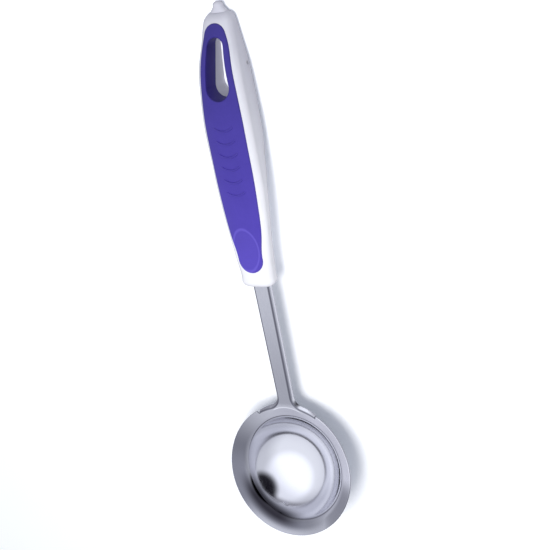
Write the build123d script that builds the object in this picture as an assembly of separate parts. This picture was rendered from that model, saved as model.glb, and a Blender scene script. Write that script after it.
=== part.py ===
from build123d import *
import math
import os

# Soup ladle, lying on its back on a table: a stamped steel bowl and shank, a moulded core
# round the tang, a white plastic handle body and a soft inlay on the handle's front.
# It is built about the centre of the bowl's rim, with +Y towards the handle and +Z out of
# the bowl, and is then laid down so that the bowl and the handle's heel touch Z = 0.
# Lengths are in millimetres and angles in degrees.

os.makedirs("parts", exist_ok=True)

# Steel bowl
sheet = 1.0
rim_radius = 42.0
rim_rounding = 0.3
lip_width = 9.0
lip_drop = 4.6
shoulder_radius = 7.0
bowl_depth = 27.0
bowl_curve_radius = 36.0

# Folded edge between the bowl and the shank
fold_inset = 1.5
root_fillet = 9.0
skirt_width = 2.8
skirt_angle = 28.5
notch_angle = 1.2

# Steel shank and tang
shank_length = 83.8
shank_rise = 15.1
shank_half_root = 4.3
shank_half_top = 4.8
flange_width = 2.9
flange_splay = 55.0
socket_depth = 6.0
tang_half = 3.9
tang_length = 62.0
lock_hole_radius = 2.2
lock_hole_spacing = 24.0

# Moulded core round the tang
core_half = 6.2
core_above = 1.6
core_below = 2.8
core_end_wall = 5.0
core_corner = 1.2

# Handle body
handle_length = 160.4
handle_half = 15.4
handle_depth = 21.5
crown_height = 6.2
front_exponent = 2.6
back_exponent = 5.0
end_rounding = 4.0
shoulder_rounding = 4.0
shoulder_lean = 16.0
lean_start_share = 0.83
heel_cut = 0.5

# Nub at the top of the handle
nub_length = 4.4
nub_half = 3.1
nub_half_depth = 3.0
nub_level = -15.8
nub_rounding = 2.2
nub_flare = 2.2
nub_root = 1.5

# Soft inlay on the front of the handle
grip_margin = 3.1
grip_depth = 1.8
grip_proud = 0.7
grip_start = 10.4
grip_end = handle_length - 6.0
grip_end_radius = 6.8
grip_end_lean = 18.0
grip_edge = 0.7

# Hanging hole, widest at its lower end, with the inlay's collar in its front half
hole_length = 33.5
hole_end = handle_length - 13.5
hole_start = hole_end - hole_length
hole_wide_radius = 7.3
hole_narrow_radius = 5.1
hole_edge = 0.8
collar_wall = 1.6
collar_depth = 10.2

# Thumb rest near the lower end of the inlay
thumb_middle = 26.1
thumb_radius = 63.0
thumb_depth = 1.1

# One overrun serves all cuts
overrun = 60.0

# Handle body from its lower end to its top: shares of the length, the greatest half width,
# and the levels of its front and back lines over the web, as shares of the greatest depth
body_shares = [
    (0.000, 0.695, 0.248, -0.262),
    (0.090, 0.732, 0.245, -0.250),
    (0.195, 0.838, 0.235, -0.245),
    (0.325, 0.957, 0.232, -0.325),
    (0.425, 0.997, 0.226, -0.495),
    (0.520, 1.000, 0.221, -0.695),
    (0.630, 0.997, 0.203, -0.800),
    (0.730, 0.935, 0.140, -0.870),
    (0.830, 0.838, 0.006, -0.905),
    (0.900, 0.720, -0.152, -0.908),
    (0.950, 0.640, -0.260, -0.893),
    (1.000, 0.540, -0.400, -0.865),
]
end_steps = 6
skirt_steps = 4
section_points = 24


def sin(angle):
    return math.sin(math.radians(angle))


def cos(angle):
    return math.cos(math.radians(angle))


# The bowl's side, in radius and height. The lip is straight, the shoulder is an arc that
# touches it from below, and the bowl is an arc about a point on the axis.
lip_angle = math.degrees(math.atan2(lip_drop, lip_width))
bowl_middle = bowl_curve_radius - bowl_depth
lip_up = (-sin(lip_angle), cos(lip_angle))
from_middle = (rim_radius - shoulder_radius * lip_up[0], -shoulder_radius * lip_up[1] - bowl_middle)
along_lip = from_middle[0] * cos(lip_angle) + from_middle[1] * sin(lip_angle)
across_lip = from_middle[1] * cos(lip_angle) - from_middle[0] * sin(lip_angle)
reach = bowl_curve_radius + shoulder_radius
lip_run = along_lip - math.sqrt(reach**2 - across_lip**2)
shoulder_middle = (
    from_middle[0] - lip_run * cos(lip_angle),
    from_middle[1] - lip_run * sin(lip_angle) + bowl_middle,
)
to_shoulder = math.atan2(shoulder_middle[1] - bowl_middle, shoulder_middle[0])


def bowl_line(below):
    """Points on the bowl's side, from the rim to the bottom, at a depth below its upper face."""
    radius = shoulder_radius - below
    curve = bowl_curve_radius + below
    middle_turn = (math.radians(90 + lip_angle) + to_shoulder + math.pi) / 2
    rim = (rim_radius - below * lip_up[0], -below * lip_up[1])
    lip_end = (shoulder_middle[0] + radius * lip_up[0], shoulder_middle[1] + radius * lip_up[1])
    shoulder = (
        shoulder_middle[0] + radius * math.cos(middle_turn),
        shoulder_middle[1] + radius * math.sin(middle_turn),
    )
    curve_start = (curve * math.cos(to_shoulder), bowl_middle + curve * math.sin(to_shoulder))
    turn = (to_shoulder - math.pi / 2) / 2
    curve_mid = (curve * math.cos(turn), bowl_middle + curve * math.sin(turn))
    bottom = (0, bowl_middle - curve)
    return rim, lip_end, shoulder, curve_start, curve_mid, bottom


def bowl_edges(below):
    rim, lip_end, shoulder, curve_start, curve_mid, bottom = bowl_line(below)
    return [
        Line(rim, lip_end),
        ThreePointArc(lip_end, shoulder, curve_start),
        ThreePointArc(curve_start, curve_mid, bottom),
    ]


# The bend runs round the bowl just inside the rim, and the web of the shank starts there.
bend_radius = rim_radius - fold_inset
bend_level = -fold_inset * lip_drop / lip_width
web = Plane(
    origin=(0, bend_radius, bend_level),
    x_dir=(1, 0, 0),
    z_dir=(0, -sin(shank_rise), cos(shank_rise)),
)

# The sheet's outer and inner faces are this far apart, seen at a splayed flange's bend.
bend_inset = sheet * (1 - cos(flange_splay)) / sin(flange_splay)

# The fillets between the shank's sides and the bend have their middles here.
fillet_x = shank_half_root + root_fillet
fillet_y = math.sqrt((bend_radius + root_fillet) ** 2 - fillet_x**2)
fillet_angle = math.degrees(math.atan2(fillet_x, fillet_y))

# The handle's plane is the web's, with its origin at the handle's lower end.
handle = Plane(origin=web.from_local_coords((0, shank_length, 0)), x_dir=web.x_dir, z_dir=web.z_dir)


def web_outline(inward):
    """The shank's flat seen from the front, with fillets that meet the bend round the bowl."""
    root = shank_half_root - inward
    top = shank_half_top - inward
    fillet_radius = root_fillet + inward
    tangent = (bend_radius - inward) / (bend_radius + root_fillet)
    meet = (fillet_x * tangent, fillet_y * tangent)
    half_turn = (math.pi + math.atan2(meet[1] - fillet_y, meet[0] - fillet_x) % (2 * math.pi)) / 2
    on_fillet = (
        fillet_x + fillet_radius * math.cos(half_turn),
        fillet_y + fillet_radius * math.sin(half_turn),
    )
    end_y = bend_radius + shank_length + socket_depth
    right = [
        Line((top, end_y), (root, fillet_y)),
        ThreePointArc((root, fillet_y), on_fillet, meet),
        Line(meet, (0, bend_radius - root_fillet)),
    ]
    left = [mirror(edge, Plane.YZ) for edge in right]
    outline = make_face(right + left + [Line((-top, end_y), (top, end_y))])
    return Pos(0, -bend_radius) * outline


def make_bowl():
    """The spun bowl, without its lip where the rim is folded down and where the web starts."""
    rim_top = bowl_line(0)[0]
    rim_under = bowl_line(sheet)[0]
    rim_out = (
        (rim_top[0] + rim_under[0]) / 2 + rim_rounding * cos(lip_angle),
        (rim_top[1] + rim_under[1]) / 2 + rim_rounding * sin(lip_angle),
    )
    rim_edge = ThreePointArc(rim_top, rim_out, rim_under)
    axis_edge = Line(bowl_line(0)[-1], bowl_line(sheet)[-1])
    side = make_face(bowl_edges(0) + bowl_edges(sheet) + [rim_edge, axis_edge])
    bowl = revolve(Plane.XZ * side, Axis.Z)
    turn = 2 * (skirt_angle + notch_angle)
    ring = Pos((bend_radius + overrun) / 2, 0) * Rectangle(overrun - bend_radius, overrun)
    folded = Rot(0, 0, 90 - turn / 2) * revolve(Plane.XZ * ring, Axis.Z, turn)
    over_web = web * extrude(web_outline(-rim_rounding), overrun)
    return bowl - folded - over_web


def make_shank():
    """The web with its splayed flanges, open underneath, as far as the end of the socket."""
    out = flange_width * cos(flange_splay)
    down = flange_width * sin(flange_splay)
    outer = loft([web_outline(0), Pos(0, 0, -down) * web_outline(-out)], ruled=True)
    under = Pos(0, 0, -sheet) * web_outline(bend_inset)
    under_foot = Pos(0, 0, -sheet - 2 * down) * web_outline(bend_inset - 2 * out)
    channel = web * (outer - loft([under, under_foot], ruled=True))
    bowl_side = Cylinder(bend_radius - fold_inset, 2 * overrun)
    return channel - bowl_side


def make_skirt():
    """The rim's edge, folded down beside the shank, from the flange's end to the notch."""
    flat_start = (bend_radius * sin(fillet_angle), bend_radius * (cos(fillet_angle) - 1), 0)
    start = web.from_local_coords(flat_start)
    start_radius = math.hypot(start.X, start.Y)
    faces = []
    for step in range(skirt_steps + 1):
        share = step / skirt_steps
        width = flange_width + share * (skirt_width - flange_width)
        foot = (width * cos(flange_splay), -width * sin(flange_splay))
        foot_back = (foot[0] - sheet / sin(flange_splay), foot[1])
        strip = make_face(Polyline([(0, 0), foot, foot_back, (-bend_inset, -sheet)], close=True))
        place = fillet_angle + share * (skirt_angle - fillet_angle)
        radius = start_radius + share * (bend_radius - start_radius)
        level = start.Z + share * (bend_level - start.Z)
        radial = Plane(
            origin=(radius * sin(place), radius * cos(place), level),
            x_dir=(sin(place), cos(place), 0),
            z_dir=(cos(place), -sin(place), 0),
        )
        tilt = (1 - share) * shank_rise * cos(fillet_angle)
        faces.append(radial * Rot(0, 0, tilt) * strip)
    right = loft(faces)
    return right + mirror(right, Plane.YZ)


def make_tang():
    """The flat tongue inside the handle, with two holes that the moulded core locks into."""
    length = socket_depth + tang_length
    flat = Pos(0, length / 2) * Rectangle(2 * tang_half, length)
    rounded = fillet(flat.vertices().group_by(Axis.Y)[-1], tang_half / 2)
    blade = extrude(rounded, -sheet)
    hole_middle = length - lock_hole_spacing / 2
    for place in (hole_middle, hole_middle - lock_hole_spacing):
        blade -= Pos(0, place) * Cylinder(lock_hole_radius, overrun)
    return handle * blade


def make_core():
    """The block moulded round the tang first, from the shank's end to past the tang's end."""
    length = tang_length + core_end_wall
    block = Box(2 * core_half, length, core_above + core_below + sheet)
    block = fillet(block.edges(), core_corner)
    middle = (core_above - core_below - sheet) / 2
    return handle * Pos(0, socket_depth + length / 2, middle) * block


def body_share(share, column):
    """A column of the body's table at a share of its length, between two of its rows."""
    for low, high in zip(body_shares, body_shares[1:]):
        if share <= high[0]:
            part = (share - low[0]) / (high[0] - low[0])
            return low[column] + part * (high[column] - low[column])
    return body_shares[-1][column]


def row_at(place):
    """The body's row at a length from its lower end."""
    share = place / handle_length
    return share, body_share(share, 1), body_share(share, 2), body_share(share, 3)


def front_level(place):
    """The level of the body's front line at a length from its lower end."""
    return row_at(place)[2] * handle_depth


def widest_level(front, back):
    """The level of a section's widest line, under its crown."""
    crown = min(crown_height, (front - back) * handle_depth / 2)
    return front * handle_depth - crown


def body_section(share, half, front, back, grow):
    """One closed section of the handle, grown outwards. The last ones lean about their backs."""
    level = widest_level(front, back)
    wide = half * handle_half + grow
    crown = front * handle_depth - level + grow
    belly = level - back * handle_depth + grow
    points = []
    for step in range(section_points):
        turn = 360 * step / section_points
        up = sin(turn) > 0
        height = crown if up else belly
        power = 2 / (front_exponent if up else back_exponent)
        x = wide * math.copysign(abs(cos(turn)) ** power, cos(turn))
        z = height * math.copysign(abs(sin(turn)) ** power, sin(turn))
        points.append((x, level + z))
    section = make_face(Spline(points, periodic=True))
    hinge = back * handle_depth
    lean = shoulder_lean * max(0, share - lean_start_share) / (1 - lean_start_share)
    placed = Pos(0, share * handle_length, hinge) * Rot(90 + lean, 0, 0) * Pos(0, -hinge)
    return handle * placed * section


def skin(grow):
    """The body's long form without its rounded ends, grown outwards by a length."""
    return loft([body_section(*row, grow) for row in body_shares])


def rounded_end(place, radius, toward):
    """An end of the body with a quarter-round edge, from its full section at a place outwards."""
    sections = []
    for step in range(end_steps + 1):
        turn = 90 * step / end_steps
        share, half, front, back = row_at(place + toward * radius * sin(turn))
        sections.append(body_section(share, half, front, back, -radius * (1 - cos(turn))))
    return loft(sections)


def make_nub():
    """The boss at the top of the handle, flared where it meets the body, with a rounded tip."""
    shape = []
    root = handle_length - nub_root
    round_start = handle_length + nub_length - nub_rounding
    for step in range(end_steps):
        share = step / end_steps
        shape.append((root + share * (round_start - root), nub_flare * (1 + cos(180 * share)) / 2))
    for step in range(end_steps + 1):
        turn = 90 * step / end_steps
        shape.append((round_start + nub_rounding * sin(turn), -nub_rounding * (1 - cos(turn))))
    faces = []
    for place, grow in shape:
        outline = Pos(0, nub_level) * Ellipse(nub_half + grow, nub_half_depth + min(grow, 0))
        faces.append(handle * Pos(0, place) * Rot(90, 0, 0) * outline)
    return loft(faces)


def make_whole_body():
    """The white plastic handle with its rounded ends and its nub, before anything is cut."""
    low = row_at(end_rounding)
    high = row_at(handle_length - shoulder_rounding)
    between = [row for row in body_shares if low[0] < row[0] < high[0]]
    body = loft([body_section(*row, 0) for row in [low] + between + [high]])
    body += rounded_end(end_rounding, end_rounding, -1)
    body += rounded_end(handle_length - shoulder_rounding, shoulder_rounding, 1)
    return body + make_nub()


def under_level():
    """Everything under the body's widest lines, which the inlay stays clear of."""
    faces = []
    for share, half, front, back in body_shares:
        block = Pos(0, widest_level(front, back) - overrun / 2) * Rectangle(overrun, overrun)
        faces.append(handle * Pos(0, share * handle_length) * Rot(90, 0, 0) * block)
    return loft(faces)


def grip_outline():
    """The inlay seen from the front: an arc at each end and the body's sides between."""
    low_radius = row_at(grip_start)[1] * handle_half - grip_margin
    low = grip_start + low_radius
    high = grip_end - grip_end_radius * (1 - sin(grip_end_lean))
    side = [(low_radius, low)]
    for share, half, front, back in body_shares:
        place = share * handle_length
        if low + grip_margin < place < high - grip_margin:
            side.append((half * handle_half - grip_margin, place))
    side.append((grip_end_radius * cos(grip_end_lean), high))
    right = Spline(side, tangents=[(0, 1), (-sin(grip_end_lean), cos(grip_end_lean))])
    left = mirror(right, Plane.YZ)
    bottom = ThreePointArc(side[0], (0, grip_start), (-side[0][0], side[0][1]))
    top = ThreePointArc(side[-1], (0, grip_end), (-side[-1][0], side[-1][1]))
    return make_face([right, left, bottom, top])


def inlay_space():
    """The room of the inlay, open at its front, with its floor parallel to the body's skin."""
    prism = handle * extrude(grip_outline(), overrun, both=True)
    return prism - skin(-grip_depth) - under_level()


def teardrop(grow):
    """The hanging hole seen from the front, grown outwards by a length."""
    low = hole_start + hole_wide_radius
    high = hole_end - hole_narrow_radius
    lean = math.degrees(math.asin((hole_wide_radius - hole_narrow_radius) / (high - low)))
    wide = hole_wide_radius + grow
    narrow = hole_narrow_radius + grow
    low_right = (wide * cos(lean), low + wide * sin(lean))
    high_right = (narrow * cos(lean), high + narrow * sin(lean))
    low_left = (-low_right[0], low_right[1])
    high_left = (-high_right[0], high_right[1])
    edges = [
        ThreePointArc(low_left, (0, low - wide), low_right),
        Line(low_right, high_right),
        ThreePointArc(high_right, (0, high + narrow), high_left),
        Line(high_left, low_left),
    ]
    return make_face(edges)


def collar_space():
    """The room of the inlay's collar, from its sloping foot to over the handle."""
    low = front_level(hole_start) - collar_depth
    high = front_level(hole_end) - collar_depth
    slope = math.degrees(math.atan2(high - low, hole_end - hole_start))
    prism = extrude(teardrop(collar_wall), overrun, both=True)
    block = Pos(0, 0, -overrun) * Box(2 * overrun, 2 * overrun, 2 * overrun)
    return handle * (prism - Pos(0, hole_start, low) * Rot(slope, 0, 0) * block)


def back_mouth(body):
    """The edges of the hanging hole on the handle's back."""
    found = []
    for edge in body.edges():
        place = handle.to_local_coords(edge.center())
        beside = abs(place.X) < hole_wide_radius + hole_edge
        if beside and hole_start - hole_edge < place.Y < hole_end + hole_edge:
            found.append((place.Z, edge))
    found.sort(key=lambda pair: pair[0])
    return [edge for level, edge in found[: len(teardrop(0).edges())]]


def front_face(solid):
    """The crowned front face of the inlay, the largest one that faces out of the handle."""
    front = [face for face in solid.faces() if face.normal_at().dot(handle.z_dir) > cos(45)]
    return max(front, key=lambda face: face.area)


def make_grip(inlay, collar, hole):
    """The soft inlay with its collar round the hole, rounded edges and a thumb rest."""
    grip = inlay & skin(grip_proud)
    grip = fillet(front_face(grip).edges(), grip_edge)
    grip = grip + (collar & skin(0)) - hole
    front = front_face(grip)
    border = front.outer_wire().edges()
    mouth = [edge for edge in front.edges() if not any(edge.is_same(other) for other in border)]
    grip = fillet(mouth, hole_edge)
    middle = front_level(thumb_middle) + grip_proud - thumb_depth + thumb_radius
    dish = handle * Pos(0, thumb_middle, middle) * Rot(0, 90, 0) * Cylinder(thumb_radius, overrun)
    return grip - dish


def heel_point():
    """The middle of the flat that the handle rests on, at the body's deepest row."""
    share, half, front, back = min(body_shares, key=lambda row: row[3])
    return handle.from_local_coords((0, share * handle_length, back * handle_depth + heel_cut))


def rest_turn(heel):
    """The slope of the line that touches the bowl from below and ends at the heel."""
    rise = heel.Z - bowl_middle
    touch = math.asin((bowl_curve_radius + sheet) / math.hypot(heel.Y, rise))
    return math.degrees(math.atan2(rise, heel.Y) + touch)


heel = heel_point()
turn = rest_turn(heel)
table = Plane(origin=heel, x_dir=(1, 0, 0), z_dir=(0, -sin(turn), cos(turn)))
under_table = table * Pos(0, 0, -overrun / 2) * Box(overrun, overrun, overrun)

steel = make_bowl() + make_shank() + make_skirt() + make_tang()
core = make_core() - steel
inlay = inlay_space()
collar = collar_space()
hole = handle * extrude(teardrop(0), overrun, both=True)
body = make_whole_body() - hole
body = fillet(back_mouth(body), hole_edge)
body = body - inlay - collar - steel - core - under_table
grip = make_grip(inlay, collar, hole)

# Laid down, with the origin under the middle of the whole ladle
laid = Rot(-turn, 0, 0)
far_rim = (laid * steel).bounding_box().min.Y
nub_tip = (laid * body).faces().sort_by(Axis.Y)[-1].bounding_box().max.Y
level = -(laid * Pos(heel)).position.Z
placed = Pos(0, -(far_rim + nub_tip) / 2, level) * laid

pieces = {"bowl_and_shank": steel, "tang_core": core, "handle_body": body, "front_grip": grip}
for name, piece in pieces.items():
    export_step(placed * piece, f"parts/{name}.step")
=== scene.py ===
# %% [markdown]
# This lesson dresses a soup ladle that was first made as a solid model. The ladle is a bowl and
# shank stamped from one sheet of stainless steel, with a handle of hard white plastic and a
# soft purple inlay moulded onto the shank's end. The solid model says where everything is.
# Here each piece gets the rounded bends, raised pattern and finish that the solid model leaves
# out.

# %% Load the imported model
import math

import bmesh
import bpy
from mathutils import Matrix, Vector
from mathutils.bvhtree import BVHTree


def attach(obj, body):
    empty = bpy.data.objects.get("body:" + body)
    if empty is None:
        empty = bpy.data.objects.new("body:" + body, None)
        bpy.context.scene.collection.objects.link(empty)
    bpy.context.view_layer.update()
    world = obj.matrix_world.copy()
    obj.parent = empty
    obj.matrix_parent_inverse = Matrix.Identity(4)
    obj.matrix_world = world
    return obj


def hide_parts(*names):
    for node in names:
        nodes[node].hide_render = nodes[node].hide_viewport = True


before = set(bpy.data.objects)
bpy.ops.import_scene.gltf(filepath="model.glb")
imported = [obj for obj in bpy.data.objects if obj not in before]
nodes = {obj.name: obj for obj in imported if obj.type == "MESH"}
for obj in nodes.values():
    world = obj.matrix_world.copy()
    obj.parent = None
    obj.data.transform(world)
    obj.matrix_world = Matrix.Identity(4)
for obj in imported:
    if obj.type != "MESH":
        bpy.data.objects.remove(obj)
scene = bpy.context.scene
bpy.context.view_layer.update()

# %% [markdown]
# A photograph of a small thing is taken with a long lens, so that its near end isn't much
# larger than its far end. A lens of 72 mm on a square sensor of 36 mm gives the same
# perspective here. The ladle lies on its back, and we look down on it from its right.

# %% Set up the camera
MM = 0.001
LENS = 72.0
SENSOR = 36.0
CAMERA_PLACE = (0.32875, 0.24030, 0.52775)
CAMERA_TURN = (-27.0636, 27.3205, -11.7013)

camera_data = bpy.data.cameras.new("camera")
camera_data.lens = LENS
camera_data.sensor_width = SENSOR
camera_data.clip_start = 0.01
camera = bpy.data.objects.new("camera", camera_data)
camera.location = CAMERA_PLACE
camera.rotation_euler = [math.radians(angle) for angle in CAMERA_TURN]
scene.collection.objects.link(camera)
scene.camera = camera
scene.view_settings.view_transform = "Standard"
print("camera at", CAMERA_PLACE)

# %% [markdown]
# Shader maths reads best as ordinary expressions. The class below wraps one socket of a node
# tree, and adds a Math node whenever two of them are added, multiplied or compared. One other
# helper makes every other kind of node, with its settings first and its sockets after them.

# %% Helpers for materials


class Wire:
    """One output socket, which takes part in sums as a number does."""

    def __init__(self, tree, socket):
        self.tree = tree
        self.socket = socket

    def math(self, operation, *others):
        values = dict(enumerate((self, *others)))
        return node(self.tree, "ShaderNodeMath", {"operation": operation}, values)

    def __add__(self, other):
        return self.math("ADD", other)

    def __mul__(self, other):
        return self.math("MULTIPLY", other)

    def __sub__(self, other):
        return self.math("SUBTRACT", other)

    def __rsub__(self, other):
        return (self * -1.0) + other

    def __truediv__(self, other):
        return self.math("DIVIDE", other)

    def __pow__(self, other):
        return self.math("POWER", other)

    __radd__ = __add__
    __rmul__ = __mul__

    def step(self, low, high):
        """0 below low and 1 above high, with a smooth rise between them."""
        settings = {"interpolation_type": "SMOOTHSTEP"}
        values = {"Value": self, "From Min": low, "From Max": high}
        return node(self.tree, "ShaderNodeMapRange", settings, values)


def node(tree, kind, settings=None, values=None, output=0):
    """Adds a node, sets it up, feeds its sockets, and gives one of its outputs."""
    made = tree.nodes.new(kind)
    for name, value in (settings or {}).items():
        setattr(made, name, value)
    for name, value in (values or {}).items():
        if isinstance(value, Wire):
            tree.links.new(value.socket, made.inputs[name])
        else:
            made.inputs[name].default_value = value
    return Wire(tree, made.outputs[output]) if made.outputs else None


def blend_colours(tree, share, first, second):
    """The first colour where share is 0 and the second where it is 1."""
    settings = {"data_type": "RGBA"}
    values = {0: share, 6: first, 7: second}
    return node(tree, "ShaderNodeMix", settings, values, output=2)


def noise(tree, place, scale, detail=3.0, roughness=0.5):
    """A cloudy value about a half."""
    values = {"Vector": place, "Scale": scale, "Detail": detail, "Roughness": roughness}
    return node(tree, "ShaderNodeTexNoise", {}, values)


def bump(tree, height, distance, strength=1.0, under=None):
    """Normals that follow a height, over other normals if there are any."""
    values = {"Height": height, "Distance": distance, "Strength": strength}
    if under is not None:
        values["Normal"] = under
    return node(tree, "ShaderNodeBump", {}, values)


def new_material(name):
    """A material with an empty tree, and its tree."""
    made = bpy.data.materials.new(name)
    made.use_nodes = True
    made.node_tree.nodes.clear()
    return made, made.node_tree


def finish_material(tree, **values):
    """The plastic, metal or rubber shader with these values, joined to the output."""
    named = {name.replace("_", " "): value for name, value in values.items()}
    shader = node(tree, "ShaderNodeBsdfPrincipled", {}, named)
    node(tree, "ShaderNodeOutputMaterial", {}, {"Surface": shader})


print("helpers ready")

# %% [markdown]
# The ladle lies on a plain white table under a big soft light overhead. The table keeps the
# ladle's shadow. It glows a little, bluish, to the camera alone, so that it looks white without
# more light on the ladle. In the steel's reflections it is grey, as a worktop is, because a
# white one would wash the steel out. The room is the world: white overhead, and dark low down
# on the camera's side, which is what polished steel needs to look like steel.

# %% Make the table, the room and the lamp
TABLE_RADIUS = 0.75
TABLE_SIDES = 96
TABLE_CLOUDS = 9.0
TABLE_ROUGHNESS = 0.55
TABLE_COLOUR = (0.93, 0.93, 0.94, 1.0)
TABLE_REFLECTED = (0.36, 0.36, 0.40, 1.0)
TABLE_GLOW = 0.23
GLOW_COLOUR = (0.74, 0.83, 1.0, 1.0)
ROOM_WHITE = (0.89, 0.92, 1.0, 1.0)
ROOM_FAR = (0.50, 0.50, 0.62, 1.0)
ROOM_GREY = (0.20, 0.195, 0.23, 1.0)
ROOM_DARK = (0.012, 0.011, 0.016, 1.0)
BACKDROP = (1.0, 1.0, 1.0, 1.0)
FAR_SHARE = 0.6
LOW_SHARE = 0.85
ROOM_LIGHT = 0.45
SHINY_EXTRA = 0.52
BRIGHT_EXTRA = 0.35
LAMP_TARGET = Vector((0, -0.03, 0.02))
LAMP_DISTANCE = 1.0
LAMP_SIZE = 0.36
LAMP_POWER = 8.0


def towards(azimuth, elevation):
    """A direction, from its turn away from +Y towards +X and its height over the horizon."""
    turn, rise = math.radians(azimuth), math.radians(elevation)
    level = math.cos(rise)
    return Vector((math.sin(turn) * level, math.cos(turn) * level, math.sin(rise)))


# Places in the room: a direction, the angle from it where a place ends, and where it is full
DARK_END = (towards(55, 0), 36, 20)
WHITE_END = (towards(35, 62), 115, 48)
BRIGHT_END = (towards(20, 50), 60, 38)
LOW_BAND = (math.sin(math.radians(-4)), math.sin(math.radians(9)))
LAMP_WAY = towards(58, 76)


def ray_kinds(tree):
    """Whether a ray comes from the camera, and whether it comes from a shiny surface."""
    light = tree.nodes.new("ShaderNodeLightPath")
    return [Wire(tree, light.outputs[kind]) for kind in ("Is Camera Ray", "Is Glossy Ray")]


def make_table():
    """A round white table top, which is the stage."""
    mesh = bpy.data.meshes.new("table")
    shell = bmesh.new()
    bmesh.ops.create_circle(shell, cap_ends=True, segments=TABLE_SIDES, radius=TABLE_RADIUS)
    shell.to_mesh(mesh)
    shell.free()
    table = bpy.data.objects.new("table", mesh)
    scene.collection.objects.link(table)
    material, tree = new_material("white_table")
    coords = node(tree, "ShaderNodeTexCoord", {}, {}, output="Object")
    rough = noise(tree, coords, TABLE_CLOUDS) * 0.1 + TABLE_ROUGHNESS
    seen, shiny = ray_kinds(tree)
    colour = blend_colours(tree, shiny, TABLE_COLOUR, TABLE_REFLECTED)
    matt = node(tree, "ShaderNodeBsdfPrincipled", {}, {"Base Color": colour, "Roughness": rough})
    glow = node(tree, "ShaderNodeEmission", {}, {"Color": GLOW_COLOUR, "Strength": TABLE_GLOW})
    both = node(tree, "ShaderNodeAddShader", {}, {0: matt, 1: glow})
    mixed = node(tree, "ShaderNodeMixShader", {}, {0: seen, 1: matt, 2: both})
    node(tree, "ShaderNodeOutputMaterial", {}, {"Surface": mixed})
    mesh.materials.append(material)
    return table


def make_room():
    """White to the camera; to the pieces, a bright ceiling over a dark end of the room."""
    world = bpy.data.worlds.new("room")
    scene.world = world
    world.use_nodes = True
    tree = world.node_tree
    tree.nodes.clear()
    way = node(tree, "ShaderNodeTexCoord", {}, {}, output="Generated")
    up = node(tree, "ShaderNodeSeparateXYZ", {}, {"Vector": way}, output="Z")

    def share_of(direction, outer, inner):
        """0 over the outer angle from a direction, and 1 within the inner one."""
        settings = {"operation": "DOT_PRODUCT"}
        values = {0: way, 1: direction}
        facing = node(tree, "ShaderNodeVectorMath", settings, values, output="Value")
        return facing.step(math.cos(math.radians(outer)), math.cos(math.radians(inner)))

    far_side = 1.0 - share_of(*WHITE_END)
    low = 1.0 - up.step(*LOW_BAND)
    ceiling = blend_colours(tree, far_side * FAR_SHARE, ROOM_WHITE, ROOM_FAR)
    room = blend_colours(tree, low * LOW_SHARE, ceiling, ROOM_GREY)
    room = blend_colours(tree, share_of(*DARK_END), room, ROOM_DARK)
    seen, shiny = ray_kinds(tree)
    # Shiny pieces see the room brighter than its light falls on matt ones
    strength = shiny * (SHINY_EXTRA + share_of(*BRIGHT_END) * BRIGHT_EXTRA) + ROOM_LIGHT
    room_light = node(tree, "ShaderNodeBackground", {}, {"Color": room, "Strength": strength})
    white = node(tree, "ShaderNodeBackground", {}, {"Color": BACKDROP, "Strength": 1.0})
    mixed = node(tree, "ShaderNodeMixShader", {}, {0: seen, 1: room_light, 2: white})
    node(tree, "ShaderNodeOutputWorld", {}, {"Surface": mixed})


def make_lamp():
    """A square soft lamp that faces the ladle."""
    data = bpy.data.lights.new("overhead", "AREA")
    data.size = LAMP_SIZE
    data.energy = LAMP_POWER
    lamp = bpy.data.objects.new("overhead", data)
    lamp.location = LAMP_TARGET + LAMP_WAY * LAMP_DISTANCE
    lamp.rotation_euler = LAMP_WAY.to_track_quat("Z", "Y").to_euler()
    # Steel shows the room, whose ceiling is already bright where this lamp hangs
    lamp.visible_glossy = False
    scene.collection.objects.link(lamp)


table = make_table()
make_room()
make_lamp()
print("table, room and lamp made")

# %% [markdown]
# The bowl and shank are pressed from sheet steel a millimetre thick. A press can't fold a
# sheet to a sharp corner, so each fold is a small arc, and those arcs catch the light. The
# blade could be the solid model with its corners rounded afterwards. It is easier to make only
# the sheet's upper face, as one net of cells that follows the folds, and then to give that
# face its thickness.

# %% Sizes of the blade, in millimetres
SHEET = 1.0
RIM_RADIUS = 42.0
LIP_WIDTH = 9.0
LIP_DROP = 4.6
SHOULDER_RADIUS = 7.0
BOWL_DEPTH = 27.0
BOWL_CURVE = 36.0
BEND_RADIUS = 40.5
SKIRT_ANGLE = math.radians(28.5)
NOTCH_ANGLE = math.radians(29.7)
SKIRT_WIDTH = 2.8
ROOT_FILLET = 9.0
SHANK_LENGTH = 83.8
SHANK_RISE = math.radians(15.1)
SHANK_HALF_ROOT = 4.3
SHANK_HALF_TOP = 4.8
FLANGE_WIDTH = 2.9
FLANGE_SPLAY = math.radians(55.0)
SOCKET_DEPTH = 6.0
FOLD_RADIUS = 1.3
# When the ladle lies on its back, its rim leans this far and has its middle here
TABLE_TURN = math.radians(14.66694701977338)
RIM_MIDDLE = Vector((0, -123.186, 28.2933))

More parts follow.
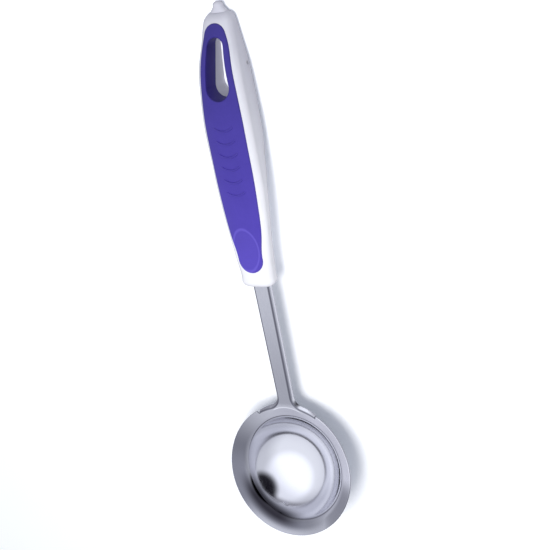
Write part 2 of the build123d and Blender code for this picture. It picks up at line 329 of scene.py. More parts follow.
lay_down = Matrix.Translation(RIM_MIDDLE) @ Matrix.Rotation(-TABLE_TURN, 4, "X")
lip_angle = math.atan2(LIP_DROP, LIP_WIDTH)
bend_level = (BEND_RADIUS - RIM_RADIUS) * LIP_DROP / LIP_WIDTH
web_plane = Matrix.Translation((0, BEND_RADIUS, bend_level)) @ Matrix.Rotation(SHANK_RISE, 4, "X")
fillet_x = SHANK_HALF_ROOT + ROOT_FILLET
fillet_y = math.sqrt((BEND_RADIUS + ROOT_FILLET) ** 2 - fillet_x**2)
meet_angle = math.atan2(fillet_x, fillet_y)
handle_plane = lay_down @ web_plane @ Matrix.Translation((0, SHANK_LENGTH, 0))
print("lip falls", round(math.degrees(lip_angle), 1), "degrees; the root starts at",
      round(math.degrees(meet_angle), 1))

# %% [markdown]
# Seen from the side, the bowl is an arc, then a tighter arc over its shoulder, then a straight
# lip. The shoulder touches both, so the line has no corner and the steel no crease.

# %% The bowl's side


def bowl_side():
    """Radius and height of the upper face, from the middle to the lip."""
    middle = BOWL_CURVE - BOWL_DEPTH
    up = (-math.sin(lip_angle), math.cos(lip_angle))
    start = (RIM_RADIUS - SHOULDER_RADIUS * up[0], -SHOULDER_RADIUS * up[1] - middle)
    along = start[0] * math.cos(lip_angle) + start[1] * math.sin(lip_angle)
    across = start[1] * math.cos(lip_angle) - start[0] * math.sin(lip_angle)
    run = along - math.sqrt((BOWL_CURVE + SHOULDER_RADIUS) ** 2 - across**2)
    shoulder = (start[0] - run * math.cos(lip_angle),
                start[1] - run * math.sin(lip_angle) + middle)
    steepest = math.pi / 2 + math.atan2(shoulder[1] - middle, shoulder[0])
    line = []
    bowl_steps, shoulder_steps = 34, 12
    for step in range(1, bowl_steps + 1):
        slope = steepest * step / bowl_steps
        line.append((BOWL_CURVE * math.sin(slope), middle - BOWL_CURVE * math.cos(slope)))
    for step in range(1, shoulder_steps + 1):
        slope = steepest + (lip_angle - steepest) * step / shoulder_steps
        line.append((shoulder[0] - SHOULDER_RADIUS * math.sin(slope),
                     shoulder[1] + SHOULDER_RADIUS * math.cos(slope)))
    return line


def lip_height(radius):
    return (radius - RIM_RADIUS) * math.tan(lip_angle)


side_line = bowl_side()
LIP_RINGS = (36.6, 37.6)
side_line += [(radius, lip_height(radius)) for radius in LIP_RINGS]
print("bowl side:", len(side_line), "rings, depth", round(side_line[0][1], 2))

# %% [markdown]
# Looking down on the net, its columns run out from the bowl's middle. Nearly all of them end at
# the rim. Next to the shank they turn down over a narrow folded strip instead, and in the
# middle they run on up the shank's flat web. One long ribbon of cells makes the fold itself: it
# starts at the notch in the rim, rounds the root and follows the shank's edge to the handle.

# %% The net of the blade's upper face
WEB_COLUMNS = 7
SKIRT_COLUMNS = 8
RIM_COLUMNS = 64
FILLET_ROWS = 12
SHANK_ROWS = 22
FOLD_SHARES = (0.2, 0.4, 0.6, 0.8, 1.0)


def on_web(x, y, z=0.0):
    return web_plane @ Vector((x, y, z))


def crease_radius(angle):
    """Where the web's plane meets the sloping lip."""
    tangent, rise = math.tan(lip_angle), math.tan(SHANK_RISE)
    apart = RIM_RADIUS * tangent + bend_level - BEND_RADIUS * rise
    return apart / (tangent - rise * math.cos(angle))


def fold_stations():
    """Corner, inward way, outward way and width of the fold, from the notch to the handle."""
    stations = []
    start = on_web(BEND_RADIUS * math.sin(meet_angle), BEND_RADIUS * (math.cos(meet_angle) - 1))
    start_radius = math.hypot(start.x, start.y)
    for step in range(SKIRT_COLUMNS):
        share = 1 - step / SKIRT_COLUMNS
        angle = meet_angle + share * (SKIRT_ANGLE - meet_angle)
        outward = Vector((math.sin(angle), math.cos(angle), 0))
        radius = start_radius + share * (BEND_RADIUS - start_radius)
        corner = outward * radius + Vector((0, 0, start.z + share * (bend_level - start.z)))
        tilt = (1 - share) * SHANK_RISE * math.cos(meet_angle)
        drop = tilt - FLANGE_SPLAY
        fall = lip_angle + (tilt - lip_angle) * (1 - share)
        inward = -outward * math.cos(fall) - Vector((0, 0, math.sin(fall)))
        down = outward * math.cos(drop) + Vector((0, 0, math.sin(drop)))
        width = FLANGE_WIDTH + share * (SKIRT_WIDTH - FLANGE_WIDTH)
        stations.append((corner, inward, down, width))
    tilted = web_plane.to_3x3()
    meet_turn = math.atan2(-math.cos(meet_angle), -math.sin(meet_angle)) % (2 * math.pi)
    for step in range(FILLET_ROWS + 1):
        turn = meet_turn + (math.pi - meet_turn) * step / FILLET_ROWS
        away = Vector((math.cos(turn), math.sin(turn), 0))
        corner = Vector((fillet_x, fillet_y - BEND_RADIUS, 0)) + away * ROOT_FILLET
        stations.append(web_station(corner, away, tilted))
    first, last = fillet_y - BEND_RADIUS, SHANK_LENGTH + SOCKET_DEPTH
    for step in range(1, SHANK_ROWS + 1):
        share = step / SHANK_ROWS
        half = SHANK_HALF_ROOT + share * (SHANK_HALF_TOP - SHANK_HALF_ROOT)
        corner = Vector((half, first + share * (last - first), 0))
        stations.append(web_station(corner, Vector((-1, 0, 0)), tilted))
    return stations


def web_station(corner, inward, tilted):
    down = -inward * math.cos(FLANGE_SPLAY) - Vector((0, 0, math.sin(FLANGE_SPLAY)))
    return web_plane @ corner, tilted @ inward, tilted @ down, FLANGE_WIDTH


def fold_points(corner, inward, down, width):
    """Across the fold: from the flat, round the arc, to the strip's foot."""
    reach = FOLD_RADIUS * math.tan((math.pi - inward.angle(down)) / 2)
    start, end = corner + inward * reach, corner + down * reach
    points = [start]
    for share in FOLD_SHARES:
        rest = 1 - share
        points.append(start * rest**2 + corner * (2 * share * rest) + end * share**2)
    foot = corner + down * width
    points.append((end + foot) / 2)
    points.append(foot)
    return points


stations = fold_stations()
ribbon = [fold_points(*station) for station in stations]
print("fold:", len(ribbon), "stations of", len(ribbon[0]), "points")

# %% Join the net's cells
LIP_INNER = 38.35
LIP_OUTER = 40.2
RIM_RINGS = (LIP_OUTER, 40.9, 41.5, RIM_RADIUS)
CREASE_LIP = 0.55
CREASE_WEB = 0.3
SEWING_DISTANCE = 0.002


def blade_columns():
    """Angles of the net's columns on the right, from the middle of the shank round the bowl."""
    web = [math.asin(math.sin(meet_angle) * step / WEB_COLUMNS) for step in range(WEB_COLUMNS + 1)]
    skirt = [meet_angle + (SKIRT_ANGLE - meet_angle) * step / SKIRT_COLUMNS
             for step in range(1, SKIRT_COLUMNS + 1)]
    rim = [NOTCH_ANGLE + (math.pi - NOTCH_ANGLE) * step / RIM_COLUMNS
           for step in range(RIM_COLUMNS + 1)]
    return web + skirt + rim


def lip_point(angle, radius):
    return Vector((radius * math.sin(angle), radius * math.cos(angle), lip_height(radius)))


def bowl_column(angle, edge):
    """A column's points: up the bowl, over the lip, and across the crease or towards the edge."""
    way = Vector((math.sin(angle), math.cos(angle), 0))
    line = [(0.0, -BOWL_DEPTH), *side_line]
    points = [way * radius + Vector((0, 0, height)) for radius, height in line]
    if angle > meet_angle + SEWING_DISTANCE:
        points.append(lip_point(angle, LIP_INNER))
        points.append(points[-1].lerp(edge, 0.5))
        return points
    radius = crease_radius(angle)
    points.append(lip_point(angle, radius - CREASE_LIP))
    flat = way * (radius + CREASE_WEB)
    flat.z = bend_level + (flat.y - BEND_RADIUS) * math.tan(SHANK_RISE)
    points.append(flat)
    return points


def mirrored(place):
    return Vector((-place.x, place.y, place.z))


def add_patch(shell, lines, left):
    """Fills the cells between lines of points, mirrored and turned over on the left."""
    made = [[shell.verts.new(mirrored(place) if left else place) for place in line]
            for line in lines]
    for near, far in zip(made, made[1:]):
        for step in range(len(near) - 1):
            corners = [near[step], near[step + 1], far[step + 1], far[step]]
            shell.faces.new(corners if left else corners[::-1])


def make_upper_face():
    """The whole upper face, as patches that are sewn together where they touch."""
    shell = bmesh.new()
    columns = blade_columns()
    skirt_end = WEB_COLUMNS + SKIRT_COLUMNS
    edges = [lip_point(angle, LIP_OUTER) for angle in columns]
    for column in range(WEB_COLUMNS, skirt_end + 1):
        edges[column] = ribbon[skirt_end - column][0]
    bowl = [bowl_column(angle, edge) for angle, edge in zip(columns, edges)]
    lip = [[bowl[column][-1], edges[column]] for column in range(WEB_COLUMNS, len(columns))]
    rim = [[lip_point(angle, radius) for radius in RIM_RINGS] for angle in columns[skirt_end + 1:]]
    for left in (False, True):
        for patch in (bowl, lip, rim, [line[::-1] for line in ribbon][::-1]):
            add_patch(shell, patch, left)
    # The web is flat, so one cell with many corners fills it
    right = [bowl[column][-1] for column in range(WEB_COLUMNS + 1)]
    right += [points[0] for points in ribbon[SKIRT_COLUMNS:]]
    outline = right + [mirrored(place) for place in right[:0:-1]]
    shell.faces.new([shell.verts.new(place) for place in outline])
    bmesh.ops.remove_doubles(shell, verts=shell.verts, dist=SEWING_DISTANCE)
    bmesh.ops.recalc_face_normals(shell, faces=shell.faces)
    highest = max(shell.faces, key=lambda face: face.calc_center_median().z)
    if highest.normal.z < 0:
        bmesh.ops.reverse_faces(shell, faces=shell.faces)
    return shell


upper = make_upper_face()
loose = [edge for edge in upper.edges if len(edge.link_faces) > 2]
print("upper face:", len(upper.faces), "cells;", len(loose), "edges with more than two")

# %% [markdown]
# Real sheet has a thickness and two slightly rounded cut edges. Solidify gives the first and a
# small bevel the second. A weighted normal keeps the flats flat right up to the folds, so that
# a reflection runs straight along the web and turns only where the steel does. The tang, a flat
# tongue with two locking holes, is hidden in the handle and is filled in from a flat curve.

# %% Make the blade
TANG_HALF = 3.9
TANG_LENGTH = 62.0
LOCK_HOLE_RADIUS = 2.2
LOCK_HOLE_SPACING = 24.0
CORNER_STEPS = 8
HOLE_SIDES = 32
EDGE_ROUNDING = 0.22
ROUNDED_OVER = math.radians(55)
CRISP_OVER = math.radians(50)
FLAT_WEIGHT = 60


def as_mesh(thing, name):
    """What an object looks like with its modifiers done, as a plain mesh."""
    bpy.context.view_layer.update()
    evaluated = thing.evaluated_get(bpy.context.evaluated_depsgraph_get())
    mesh = bpy.data.meshes.new_from_object(evaluated)
    mesh.name = name
    return mesh


def new_piece(name, mesh):
    """An object at the origin for a finished mesh, riding on the ladle's one body."""
    mesh.name = name
    piece = bpy.data.objects.new(name, mesh)
    scene.collection.objects.link(piece)
    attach(piece, "root")
    return piece


def add_ring(curve, points):
    line = curve.splines.new("POLY")
    line.points.add(len(points) - 1)
    for point, (x, y) in zip(line.points, points):
        point.co = (x, y, 0, 1)
    line.use_cyclic_u = True


def make_tang():
    """The flat tongue with its locking holes, in metres on the row's frame."""
    curve = bpy.data.curves.new("tang", "CURVE")
    curve.dimensions = "2D"
    curve.fill_mode = "BOTH"
    curve.extrude = SHEET * MM / 2
    end = SOCKET_DEPTH + TANG_LENGTH
    corner = TANG_HALF / 2
    outline = [(TANG_HALF, SOCKET_DEPTH - SHEET)]
    for step in range(CORNER_STEPS + 1):
        turn = math.pi / 2 * step / CORNER_STEPS
        outline.append((TANG_HALF - corner + corner * math.cos(turn),
                        end - corner + corner * math.sin(turn)))
    outline += [(-x, y) for x, y in reversed(outline)]
    add_ring(curve, [(x * MM, y * MM) for x, y in outline])
    turns = [math.tau * step / HOLE_SIDES for step in range(HOLE_SIDES)]
    for middle in (end - LOCK_HOLE_SPACING / 2, end - 1.5 * LOCK_HOLE_SPACING):
        hole = [(LOCK_HOLE_RADIUS * math.cos(turn), middle + LOCK_HOLE_RADIUS * math.sin(turn))
                for turn in turns]
        add_ring(curve, [(x * MM, y * MM) for x, y in hole])
    holder = bpy.data.objects.new("tang", curve)
    scene.collection.objects.link(holder)
    mesh = as_mesh(holder, "tang")
    bpy.data.objects.remove(holder)
    place = handle_plane @ Matrix.Translation((0, 0, -SHEET / 2))
    place.translation *= MM
    mesh.transform(place)
    return mesh


def make_blade():
    """The upper face laid down, thickened, with rounded cut edges, and joined by the tang."""
    upper.transform(lay_down)
    bmesh.ops.scale(upper, vec=(MM, MM, MM), verts=upper.verts)
    mesh = bpy.data.meshes.new("blade")
    upper.to_mesh(mesh)
    upper.free()
    mesh.shade_smooth()
    holder = bpy.data.objects.new("blade", mesh)
    scene.collection.objects.link(holder)
    wall = holder.modifiers.new("thickness", "SOLIDIFY")
    wall.thickness = SHEET * MM
    wall.offset = -1.0
    wall.use_even_offset = True
    edge = holder.modifiers.new("edges", "BEVEL")
    edge.width = EDGE_ROUNDING * MM
    edge.segments = 2
    edge.limit_method = "ANGLE"
    edge.angle_limit = ROUNDED_OVER
    solid = as_mesh(holder, "blade")
    bpy.data.objects.remove(holder)
    whole = bmesh.new()
    whole.from_mesh(solid)
    whole.from_mesh(make_tang())
    whole.to_mesh(solid)
    whole.free()
    solid.shade_smooth()
    solid.set_sharp_from_angle(angle=CRISP_OVER)
    return new_piece("steel_blade", solid)


def keep_flats_flat(piece):
    """Larger cells decide the shading where they meet small ones."""
    weighted = piece.modifiers.new("flats", "WEIGHTED_NORMAL")
    weighted.keep_sharp = True
    weighted.weight = FLAT_WEIGHT


blade = make_blade()
keep_flats_flat(blade)
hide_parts("bowl_and_shank")
print("blade:", len(blade.data.polygons), "cells")

# %% [markdown]
# The handle's two plastics keep the solid model's shapes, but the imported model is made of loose
# triangles, which shade as facets. A copy with its points merged shades smoothly, and an angle
# decides which edges stay crisp.

# %% Smooth copies of the handle's pieces
HANDLE_CRISP_OVER = math.radians(28)
SAME_POINT = 1e-6


def smooth_copy(source, name):
    """A smooth-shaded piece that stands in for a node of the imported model."""
    mesh = nodes[source].data.copy()
    shell = bmesh.new()
    shell.from_mesh(mesh)
    bmesh.ops.remove_doubles(shell, verts=shell.verts, dist=SAME_POINT)
    shell.to_mesh(mesh)
    shell.free()
    mesh.materials.clear()
    if "custom_normal" in mesh.attributes:
        mesh.attributes.remove(mesh.attributes["custom_normal"])
    mesh.shade_smooth()
    mesh.set_sharp_from_angle(angle=HANDLE_CRISP_OVER)
    piece = new_piece(name, mesh)
    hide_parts(source)
    print(name, "has", len(mesh.polygons), "triangles")
    return piece


handle = smooth_copy("handle_body", "white_handle")
inlay = smooth_copy("front_grip", "purple_inlay")

# %% [markdown]
# The press and the polishing wheel leave fine lines in the steel: along the shank, and across
# the lip near its root, where the sheet was stretched. Each kind of line is a noise that is
# squeezed across its length, and feeds roughness and bump. The rest of the colour is painted
# light. A painted reflection brightens the bowl's middle and its near lip, painted dark
# reflections dim its left side and lip with a dark patch between them, painted shade darkens
# the web at its root, and the folds and flanges of the shank carry painted highlights and a
# painted dark line. Each of these is a share that rises between two places, and blends one
# more colour in.

# %% Polished steel
STEEL_COLOUR = (0.64, 0.64, 0.68, 1.0)
STEEL_SHADE = (0.57, 0.57, 0.62, 1.0)
# The next three colours are painted light: reflections and highlights, dim reflections and shade,
# a dark reflection
STEEL_BRIGHT = (0.90, 0.90, 0.94, 1.0)
STEEL_PAINTED_DIM = (0.12, 0.12, 0.15, 1.0)
STEEL_DARK = (0.02, 0.018, 0.025, 1.0)
STEEL_ROUGHNESS = 0.095
STEEL_RELIEF = 0.00003
SMUDGES = 60.0
# Some of these shares place painted reflections and painted shade
# Where each share rises, in metres from the bowl's axis or along the shank
MIDDLE_ENDS = (0.0180, 0.0270)
DARK_ENDS = (0.0350, 0.0405)
LIP_STARTS = (0.0355, 0.0375)
SHANK_STARTS = (0.0405, 0.0440)
WEB_BRIGHTENS = (0.05, 0.12)
# The root's lines end between these squares of the angle round from the shank
ROOT_LINES_END = (0.9, 0.1)
# The patches are painted reflections: bright on the near lip, dim on the left side and lip, dark
# between them
# Patches: degrees round from the shank, how closely a place faces that way, and its radius
NEAR_LIP = ((62, 0.55, 0.9), (0.0345, 0.0375))
DIM_REFLECTION_SIDE = ((232, -0.4, 0.6), (0.0305, 0.0355))
DIM_REFLECTION_GAP = ((180, 0.5, 0.95), (0.0370, 0.0415))
DIM_REFLECTION_NEAR = ((122, 0.86, 0.98), (0.0340, 0.0375))
DARK_REFLECTION_PATCH = ((216, 0.66, 0.97), (0.0290, 0.0330))
# Scales of the lines' noises, along x, y and z or along angle, radius and z
SHANK_LINES = (2600.0, 42.0, 900.0)
ROOT_LINES = (90.0, 300.0, 0.0)
WHEEL_RINGS = (2.0, 1500.0, 700.0)
# Widths of the painted fold lines in millimetres, and how fast they fade past their ends
FOLD_LINE = (0.2, 0.8)
CREASE_LINE = (0.15, 0.5)
CREASE_SHIFT = 0.1
FLANGE_STARTS = (0.8, 1.2)
FADE_AHEAD = 10.0
FADE_ROUND = 400.0


def bowl_place(tree):
    """Coordinates about the middle of the rim, with z along the bowl's axis."""
    coords = node(tree, "ShaderNodeTexCoord", {}, {}, output="Object")
    middle = Matrix.Rotation(TABLE_TURN, 3, "X") @ (RIM_MIDDLE * -MM)
    values = {"Vector": coords, "Location": middle, "Rotation": (TABLE_TURN, 0, 0)}
    return coords, node(tree, "ShaderNodeMapping", {}, values)


def parts_of(tree, vector):
    made = tree.nodes.new("ShaderNodeSeparateXYZ")
    tree.links.new(vector.socket, made.inputs[0])
    return [Wire(tree, made.outputs[axis]) for axis in range(3)]


def vector_of(tree, x, y, z):
    return node(tree, "ShaderNodeCombineXYZ", {}, {0: x, 1: y, 2: z})


def over(value, limit):
    """How far a value is over a limit, and 0 under it."""
    return (value - limit).math("MAXIMUM", 0.0)


def under(value, limit):
    """How far a value is under a limit, and 0 over it."""
    return over(value * -1.0, -limit)


def painted_fold_lights(x, y, radius, angle):
    """Shares of painted light: a dark line on the fold, a crease highlight and bright flanges."""
    side, turn, reach = x.math("ABSOLUTE") / MM, angle.math("ABSOLUTE"), radius / MM
    ahead = (y / MM - BEND_RADIUS) / math.cos(SHANK_RISE) + BEND_RADIUS
    widening = (SHANK_HALF_TOP - SHANK_HALF_ROOT) / SHANK_LENGTH
    outside = side - ((ahead - fillet_y) * widening + SHANK_HALF_ROOT)
    # The fold runs up the shank, round the root's fillet, and along the bend beside it
    shank = outside.math("ABSOLUTE") + under(ahead, fillet_y) * FADE_AHEAD
    away, onward = side - fillet_x, ahead - fillet_y
    fillet = ((away * away + onward * onward) ** 0.5 - ROOT_FILLET).math("ABSOLUTE")
    fillet = fillet + over(ahead, fillet_y) * FADE_AHEAD + over(turn, meet_angle) * FADE_ROUND
    bend = (reach - BEND_RADIUS).math("ABSOLUTE") + over(turn, SKIRT_ANGLE) * FADE_ROUND
    bend = bend + under(turn, meet_angle) * FADE_ROUND
    fold = 1.0 - shank.math("MINIMUM", fillet).math("MINIMUM", bend).step(*FOLD_LINE)
    slope, rise = math.tan(lip_angle), math.tan(SHANK_RISE)
    ring = ((angle.math("COSINE") * -rise + slope) ** -1.0) * (crease_radius(0) * (slope - rise))
    crease = 1.0 - (reach - ring - CREASE_SHIFT).math("ABSOLUTE").step(*CREASE_LINE)
    crease = crease * (1.0 - turn.step(meet_angle * 0.75, meet_angle))
    flange = outside.step(*FLANGE_STARTS) * ahead.step(fillet_y - 4.0, fillet_y)
    return fold, crease, flange


def steel_material():
    material, tree = new_material("polished_steel")
    coords, place = bowl_place(tree)
    x, y, z = parts_of(tree, place)
    radius = (x * x + y * y) ** 0.5
    angle = x.math("ARCTAN2", y)
    fold, crease, flange = painted_fold_lights(x, y, radius, angle)

    def patch(side, ring):
        """A share of one side of the bowl, outside a ring about its axis."""
        turn = math.radians(side[0])
        facing = (x * math.sin(turn) + y * math.cos(turn)) / radius
        return facing.step(*side[1:]) * radius.step(*ring)

    def squeezed(places, scales, detail, roughness):
        """A noise with its own scale along each axis."""
        vector = vector_of(tree, *[place * scale for place, scale in zip(places, scales)])
        return noise(tree, vector, 1.0, detail, roughness)

    on_shank = y.step(*SHANK_STARTS)
    on_bowl = 1.0 - on_shank
    on_lip = radius.step(*LIP_STARTS) * on_bowl
    at_root = (angle * angle).step(*ROOT_LINES_END) * on_lip
    # Painted shade darkens the web towards its root
    web_root = (1.0 - y.step(*WEB_BRIGHTENS)) * on_shank
    # Painted reflections brighten the bowl's middle and its near lip
    inside = 1.0 - radius.step(*MIDDLE_ENDS)
    near_lip = patch(*NEAR_LIP) * on_bowl
    # Painted dark reflections dim the left side and lip, with a darker patch between them
    painted_dim_reflection = patch(*DIM_REFLECTION_SIDE) * on_bowl * (1.0 - patch(*DIM_REFLECTION_GAP) * 0.6)
    painted_dim_reflection = painted_dim_reflection.math("MAXIMUM", patch(*DIM_REFLECTION_NEAR) * 0.7)
    dark = patch(*DARK_REFLECTION_PATCH) * (1.0 - radius.step(*DARK_ENDS))
    along = squeezed((x, y, z), SHANK_LINES, 4.0, 0.6)
    around = squeezed((angle, radius, z), ROOT_LINES, 4.0, 0.65)
    rings = squeezed((angle, radius, z), WHEEL_RINGS, 3.0, 0.6)
    smudge = noise(tree, coords, SMUDGES, 3.0, 0.55)
    lines = (along - 0.5) * on_shank + (around - 0.5) * at_root * 1.3
    rough = (STEEL_ROUGHNESS + smudge.step(0.42, 0.75) * 0.03 + on_shank * 0.13 + on_lip * 0.05
             + lines * 0.16 + (rings - 0.5) * 0.02)
    shade = (smudge - 0.5) * 0.5 + lines * 1.5 + 0.3
    colour = blend_colours(tree, shade, STEEL_COLOUR, STEEL_SHADE)
    # Painted reflections, painted shade, and painted fold highlights and dark lines, in turn
    for share, tone in ((inside * 0.85 + near_lip * 0.8, STEEL_BRIGHT),
                        (painted_dim_reflection * 0.85 + web_root * 0.35, STEEL_PAINTED_DIM), (dark * 0.95, STEEL_DARK),
                        (crease.math("MAXIMUM", flange), STEEL_BRIGHT), (fold * 0.9, STEEL_PAINTED_DIM)):
        colour = blend_colours(tree, share, colour, tone)
    height = lines * 0.9 + (rings - 0.5) * 0.16 * on_bowl
    normal = bump(tree, height, STEEL_RELIEF, 0.5)
    finish_material(tree, Base_Color=colour, Metallic=1.0, Roughness=rough, Normal=normal)
    return material


blade.data.materials.clear()
blade.data.materials.append(steel_material())
print("steel done")

# %% [markdown]
# The white handle is hard and glossy, with the faint waviness of a moulding. It has a little
# random grime, and painted shade makes it greyer towards its back, near the table, and towards
# its top. The gas in the mould escapes at one small spot on its right side, and leaves a grey dot
# there. The dot is placed by its pixel in the picture: a ray from the camera through that pixel
# finds the place on the handle.

# %% Glossy white plastic
WHITE = (0.90, 0.90, 0.94, 1.0)
WHITE_GRIME_AND_SHADE = (0.52, 0.52, 0.60, 1.0)
VENT_GREY = (0.22, 0.22, 0.26, 1.0)
WHITE_CLOUDS = 45.0
WHITE_WAVES = 130.0
WHITE_GRAIN = 1400.0
WHITE_ROUGHNESS = 0.24
WHITE_RELIEF = 0.00006
# Painted shade greys the handle towards its back, near the table, and towards its top
BACK_ENDS = (0.004, 0.022)
TOP_SHADE_ENDS = (-0.01, 0.16)
VENT_PIXEL = (247.5, 62.5)
VENT_EDGE = (0.0008, 0.0016)
PICTURE = 550.0


def seen_at(piece, pixel):
    """The place on a piece that the camera sees at a pixel of the square picture."""
    across = (pixel[0] / PICTURE - 0.5) * SENSOR / LENS
    upward = (0.5 - pixel[1] / PICTURE) * SENSOR / LENS
    turn = camera.rotation_euler.to_matrix()
    direction = (turn @ Vector((across, upward, -1.0))).normalized()
    tree = BVHTree.FromPolygons([v.co for v in piece.data.vertices],
                                [p.vertices for p in piece.data.polygons])
    return tree.ray_cast(Vector(CAMERA_PLACE), direction)[0]


def white_material():
    material, tree = new_material("glossy_white_plastic")
    coords = node(tree, "ShaderNodeTexCoord", {}, {}, output="Object")
    _, y, z = parts_of(tree, coords)
    vent = seen_at(handle, VENT_PIXEL)
    print("vent mark at", vent)
    settings, values = {"operation": "DISTANCE"}, {0: coords, 1: vent}
    apart = node(tree, "ShaderNodeVectorMath", settings, values, output="Value")
    spot = 1.0 - apart.step(*VENT_EDGE)
    clouds = noise(tree, coords, WHITE_CLOUDS, 4.0, 0.55)
    grain = noise(tree, coords, WHITE_GRAIN, 2.0, 0.5)
    waves = noise(tree, coords, WHITE_WAVES, 2.0, 0.5)
    back = 1.0 - z.step(*BACK_ENDS)
    # Random grime, plus painted shade towards the back and the top
    grime_and_shade = (clouds - 0.35) * 0.22 + back * 0.3 + y.step(*TOP_SHADE_ENDS) * 0.75 - 0.2
    colour = blend_colours(tree, grime_and_shade.math("MAXIMUM", 0.0), WHITE, WHITE_GRIME_AND_SHADE)
    colour = blend_colours(tree, spot * 0.8, colour, VENT_GREY)
    rough = WHITE_ROUGHNESS + (clouds - 0.5) * 0.1 + (grain - 0.5) * 0.05 + spot * 0.2
    height = waves * 0.5 + grain * 0.05 - spot * 1.5
    normal = bump(tree, height, WHITE_RELIEF, 0.35)
    finish_material(tree, Base_Color=colour, Roughness=rough, Normal=normal, Coat_Weight=0.25,
                    Coat_Roughness=0.12)
    return material


handle.data.materials.append(white_material())
print("white plastic done")

# %% [markdown]
# The inlay is a soft rubber-like plastic. It is satin rather than glossy, with a fine matt grain
# that softens its highlights, and painted shade makes it darker towards the top. The thumb rest
# at its lower end is an oval with a low rounded border that carries a painted highlight, and its
# inside is a shade lighter than the rest.

# %% Soft purple plastic
PURPLE = (0.082, 0.052, 0.45, 1.0)
PURPLE_DEEP = (0.020, 0.013, 0.165, 1.0)
# A painted highlight colour for the thumb rest's border
PURPLE_RIM_HIGHLIGHT = (0.155, 0.115, 0.62, 1.0)
PURPLE_CLOUDS = 55.0
PURPLE_SPECKS = 900.0
PURPLE_GRAIN = 2600.0
PURPLE_ROUGHNESS = 0.46
PURPLE_RELIEF = 0.00005
# Painted shade darkens the inlay towards the top between these
TOP_SHADE_DARKENS = (-0.01, 0.17)
THUMB_PIXEL = (246.5, 250.0)
THUMB_HALF_WIDTH = 0.0084
THUMB_HALF_LENGTH = 0.0135
# Shares of the way from the middle of the thumb rest to its outline
REST_ENDS = (0.8, 1.0)
BORDER_STARTS = (0.86, 0.98)
BORDER_ENDS = (0.98, 1.08)


def purple_material():
    material, tree = new_material("soft_purple_plastic")
    coords = node(tree, "ShaderNodeTexCoord", {}, {}, output="Object")
    clouds = noise(tree, coords, PURPLE_CLOUDS, 4.0, 0.6)
    grain = noise(tree, coords, PURPLE_GRAIN, 2.0, 0.55)
    specks = noise(tree, coords, PURPLE_SPECKS, 3.0, 0.6)
    x, y, _ = parts_of(tree, coords)
    # Random tone, plus painted shade towards the top
    share = (clouds - 0.5) * 0.3 + (specks - 0.5) * 0.12 + y.step(*TOP_SHADE_DARKENS) * 0.85 + 0.08
    colour = blend_colours(tree, share.math("MAXIMUM", 0.0), PURPLE, PURPLE_DEEP)
    thumb = seen_at(inlay, THUMB_PIXEL)
    across, along = (x - thumb.x) / THUMB_HALF_WIDTH, (y - thumb.y) / THUMB_HALF_LENGTH
    oval = (across * across + along * along) ** 0.5
    border = oval.step(*BORDER_STARTS) * (1.0 - oval.step(*BORDER_ENDS))
    # The border gets a painted highlight, and the rest's inside is a little lighter
    lighter = border * 0.55 + (1.0 - oval.step(*REST_ENDS)) * 0.12
    colour = blend_colours(tree, lighter, colour, PURPLE_RIM_HIGHLIGHT)
    rough = PURPLE_ROUGHNESS + (clouds - 0.5) * 0.12 + (grain - 0.5) * 0.12
    normal = bump(tree, grain * 0.6 + specks * 0.4 + border * 2.5, PURPLE_RELIEF, 0.4)
    finish_material(tree, Base_Color=colour, Roughness=rough, Normal=normal)
    return material


purple = purple_material()
inlay.data.materials.append(purple)
print("purple plastic done")

# %% [markdown]
# Slim raised arcs across the grip help wet fingers to hold it. They are one arc that Geometry
# Nodes repeats along a straight line over the grip. Each point of an arc is then dropped onto
# the inlay by a ray, so that the arcs follow its crown. Their ends dip under its surface.

# %% Raised arcs on the grip
ARC_COUNT = 6
ARC_RADIUS = 0.0092
ARC_SWEEP = math.radians(88)
ARC_THICKNESS = 0.0006
ARC_DIP = 0.0007
ARC_POINTS = 40
ARC_SIDES = 12
FIRST_ARC_PIXEL = (222.0, 132.0)
LAST_ARC_PIXEL = (236.0, 196.0)
ABOVE_GRIP = 0.06
ARC_INPUTS = (("Arcs", "NodeSocketInt", ARC_COUNT), ("Radius", "NodeSocketFloat", ARC_RADIUS),
              ("Thickness", "NodeSocketFloat", ARC_THICKNESS))


def new_group(name, inputs):
    """An empty Geometry Nodes tree with a geometry socket each way and some named inputs."""
    tree = bpy.data.node_groups.new(name, "GeometryNodeTree")
    tree.interface.new_socket("Geometry", in_out="INPUT", socket_type="NodeSocketGeometry")
    tree.interface.new_socket("Geometry", in_out="OUTPUT", socket_type="NodeSocketGeometry")
    for title, kind, _ in inputs:
        tree.interface.new_socket(title, in_out="INPUT", socket_type=kind)
    return tree


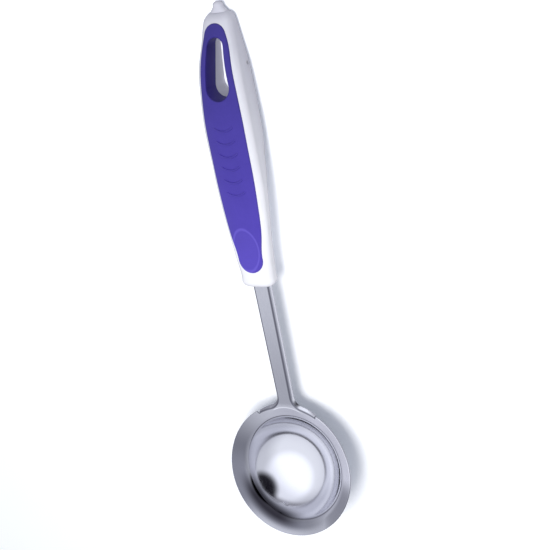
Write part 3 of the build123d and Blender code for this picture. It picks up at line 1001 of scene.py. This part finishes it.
def arcs_tree(first, step, material):
    """Arcs in a row over the grip, dropped onto it and given their thickness."""
    tree = new_group("raised_arcs", ARC_INPUTS)
    given = tree.nodes.new("NodeGroupInput")
    grip, count, radius, thickness = [Wire(tree, given.outputs[place]) for place in range(4)]
    lowest = math.pi * 1.5
    sweep = {"Resolution": ARC_POINTS, "Radius": radius, "Start Angle": lowest - ARC_SWEEP / 2,
             "Sweep Angle": ARC_SWEEP}
    arc = node(tree, "GeometryNodeCurveArc", {}, sweep)
    spread = {"Count": count, "Start Location": first, "Offset": step}
    row = node(tree, "GeometryNodeMeshLine", {}, spread)
    arcs = node(tree, "GeometryNodeInstanceOnPoints", {}, {"Points": row, "Instance": arc})
    arcs = node(tree, "GeometryNodeRealizeInstances", {}, {"Geometry": arcs})
    ray = tree.nodes.new("GeometryNodeRaycast")
    tree.links.new(grip.socket, ray.inputs["Target Geometry"])
    ray.inputs["Ray Direction"].default_value = (0.0, 0.0, -1.0)
    ray.inputs["Ray Length"].default_value = ABOVE_GRIP * 2
    share = node(tree, "GeometryNodeSplineParameter", {}, {}) * 2.0 - 1.0
    drop = vector_of(tree, 0.0, 0.0, (share * share) ** 5.0 * -ARC_DIP)
    place = {"Geometry": arcs, "Position": Wire(tree, ray.outputs["Hit Position"]), "Offset": drop}
    arcs = node(tree, "GeometryNodeSetPosition", {}, place)
    round_wire = {"Resolution": ARC_SIDES, "Radius": thickness}
    ring = node(tree, "GeometryNodeCurvePrimitiveCircle", {}, round_wire)
    pipe = {"Curve": arcs, "Profile Curve": ring, "Fill Caps": True}
    pipes = node(tree, "GeometryNodeCurveToMesh", {}, pipe)
    pipes = node(tree, "GeometryNodeSetShadeSmooth", {}, {"Geometry": pipes})
    pipes = node(tree, "GeometryNodeRealizeInstances", {}, {"Geometry": pipes})
    painted = node(tree, "GeometryNodeSetMaterial", {}, {"Geometry": pipes, "Material": material})
    node(tree, "NodeGroupOutput", {}, {"Geometry": painted})
    return tree


def make_arcs():
    first, last = seen_at(inlay, FIRST_ARC_PIXEL), seen_at(inlay, LAST_ARC_PIXEL)
    start = Vector((0, first.y + ARC_RADIUS, ABOVE_GRIP))
    step = Vector((0, (last.y - first.y) / (ARC_COUNT - 1), 0))
    holder = bpy.data.objects.new("arcs", inlay.data.copy())
    scene.collection.objects.link(holder)
    maker = holder.modifiers.new("arcs", "NODES")
    maker.node_group = arcs_tree(start, step, purple)
    values = {title: value for title, _, value in ARC_INPUTS}
    for item in maker.node_group.interface.items_tree:
        if item.in_out == "INPUT" and item.name in values:
            maker[item.identifier] = values[item.name]
    mesh = as_mesh(holder, "grip_arcs")
    bpy.data.objects.remove(holder)
    print("arcs from y", round(first.y, 4), "to", round(last.y, 4))
    return new_piece("grip_arcs", mesh)


arcs = make_arcs()

# %% [markdown]
# The core is moulded round the tang before the handle is. Nobody sees it, but it is a plain
# light plastic with a rough grain that the second moulding keys into.

# %% The hidden core
CORE_LIGHT = (0.75, 0.75, 0.76, 1.0)
CORE_DARK = (0.62, 0.62, 0.64, 1.0)
CORE_GRAIN = 900.0
CORE_ROUGHNESS = 0.5
CORE_RELIEF = 0.0001


def core_material():
    material, tree = new_material("rough_core_plastic")
    coords = node(tree, "ShaderNodeTexCoord", {}, {}, output="Object")
    grain = noise(tree, coords, CORE_GRAIN, 3.0, 0.6)
    colour = blend_colours(tree, grain, CORE_LIGHT, CORE_DARK)
    normal = bump(tree, grain, CORE_RELIEF, 0.6)
    rough = CORE_ROUGHNESS + grain * 0.2
    finish_material(tree, Base_Color=colour, Roughness=rough, Normal=normal)
    return material


core = nodes["tang_core"]
core.data.materials.clear()
core.data.materials.append(core_material())
print("core done")
